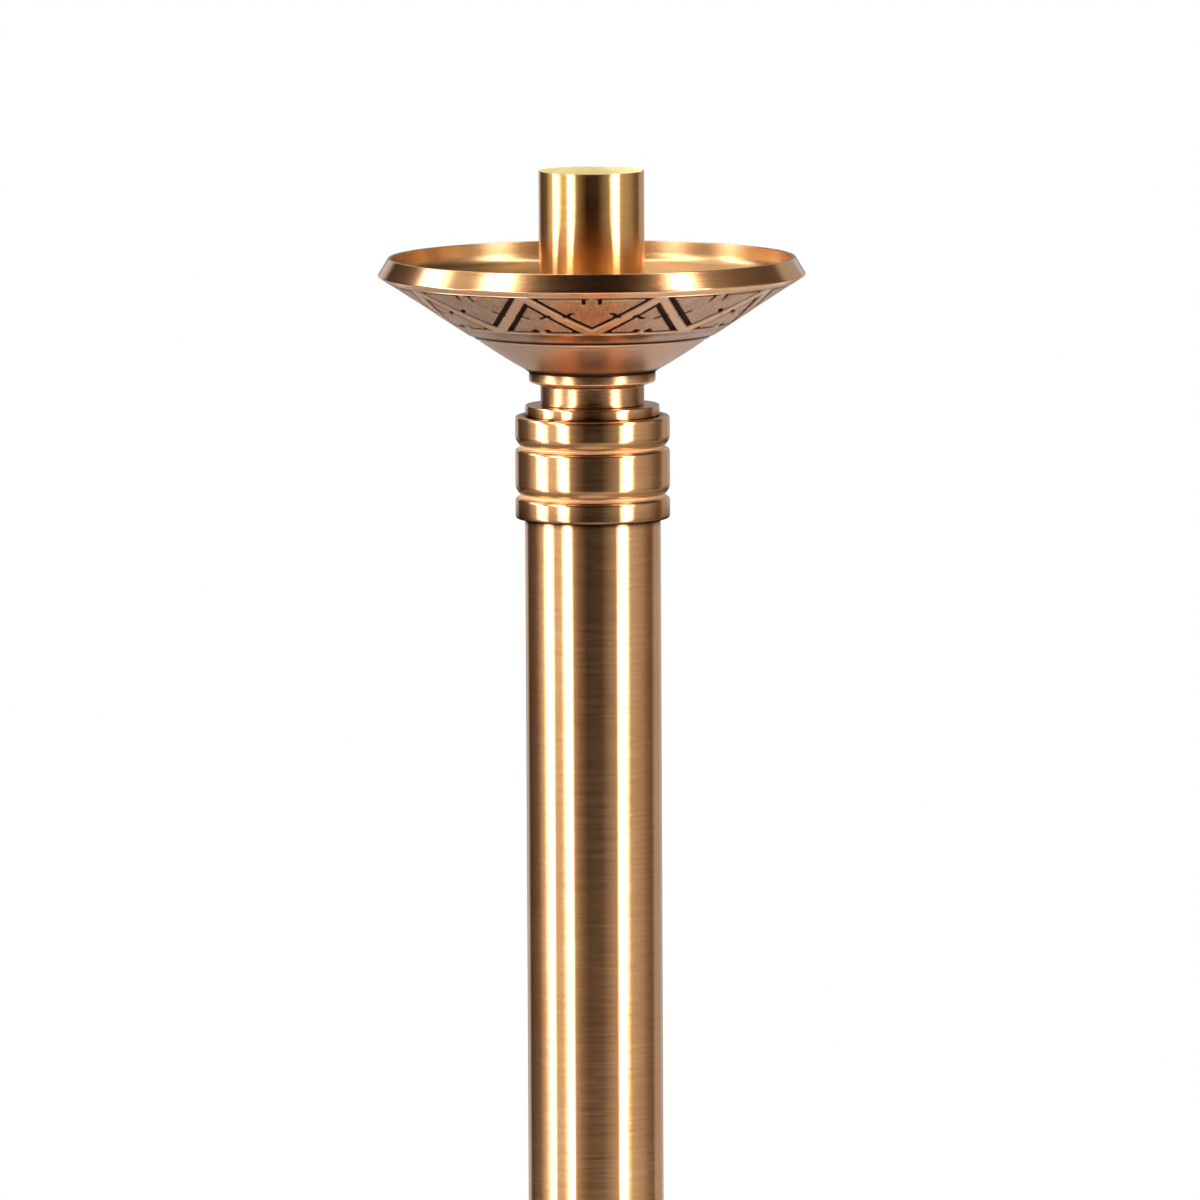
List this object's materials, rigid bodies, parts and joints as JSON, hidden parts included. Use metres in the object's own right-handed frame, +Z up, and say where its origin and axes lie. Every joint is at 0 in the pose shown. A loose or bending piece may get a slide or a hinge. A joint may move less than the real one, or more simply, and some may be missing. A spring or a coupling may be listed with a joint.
{
  "type": "floor candlestick",
  "caption": "Tall floor candlestick: round weighted foot, plain column between turned collars, wide drip pan with a chevron relief under it, and a tube socket for a candle.",
  "frame": {"origin": "centre of the foot, on the floor", "axes": "+Z up the column, -Y to the front, where a panel of the relief points down"},
  "size_m": [0.2794, 0.2794, 1.1176],
  "materials": {
    "satin_bronze": "satin, brushed round the axis, lacquered",
    "cast_bronze": "cast relief left matte, turned faces satin",
    "satin_brass": "satin, brushed round the axis, lacquered",
    "steel": "zinc plated",
    "cast_iron": "rough, as cast",
    "rubber": "moulded, matte"
  },
  "bodies": {
    "stand": {"foot_shell": "cast_bronze", "foot_bumper_1": "rubber", "foot_bumper_2": "rubber", "foot_bumper_3": "rubber", "foot_bumper_4": "rubber", "bumper_screw_1": "steel", "bumper_screw_2": "steel", "bumper_screw_3": "steel", "bumper_screw_4": "steel", "bottom_plate": "steel", "ballast_weight": "cast_iron", "foot_washer": "steel", "foot_nut": "steel", "tie_rod": "steel", "foot_collar": "satin_bronze", "column_tube": "satin_bronze", "capital": "satin_bronze", "neck_spool": "satin_bronze", "neck_washer": "steel", "neck_nut": "steel"},
    "pan": {"drip_pan": "cast_bronze"},
    "socket": {"socket_tube": "satin_brass", "socket_floor": "satin_brass"}
  },
  "joints": [
    {"name": "pan_lift", "type": "slide", "parent": "stand", "child": "pan", "axis": [0, 0, 1], "range_m": [0, 0.06]},
    {"name": "socket_lift", "type": "slide", "parent": "pan", "child": "socket", "axis": [0, 0, 1], "range_m": [0, 0.09]}
  ]
}
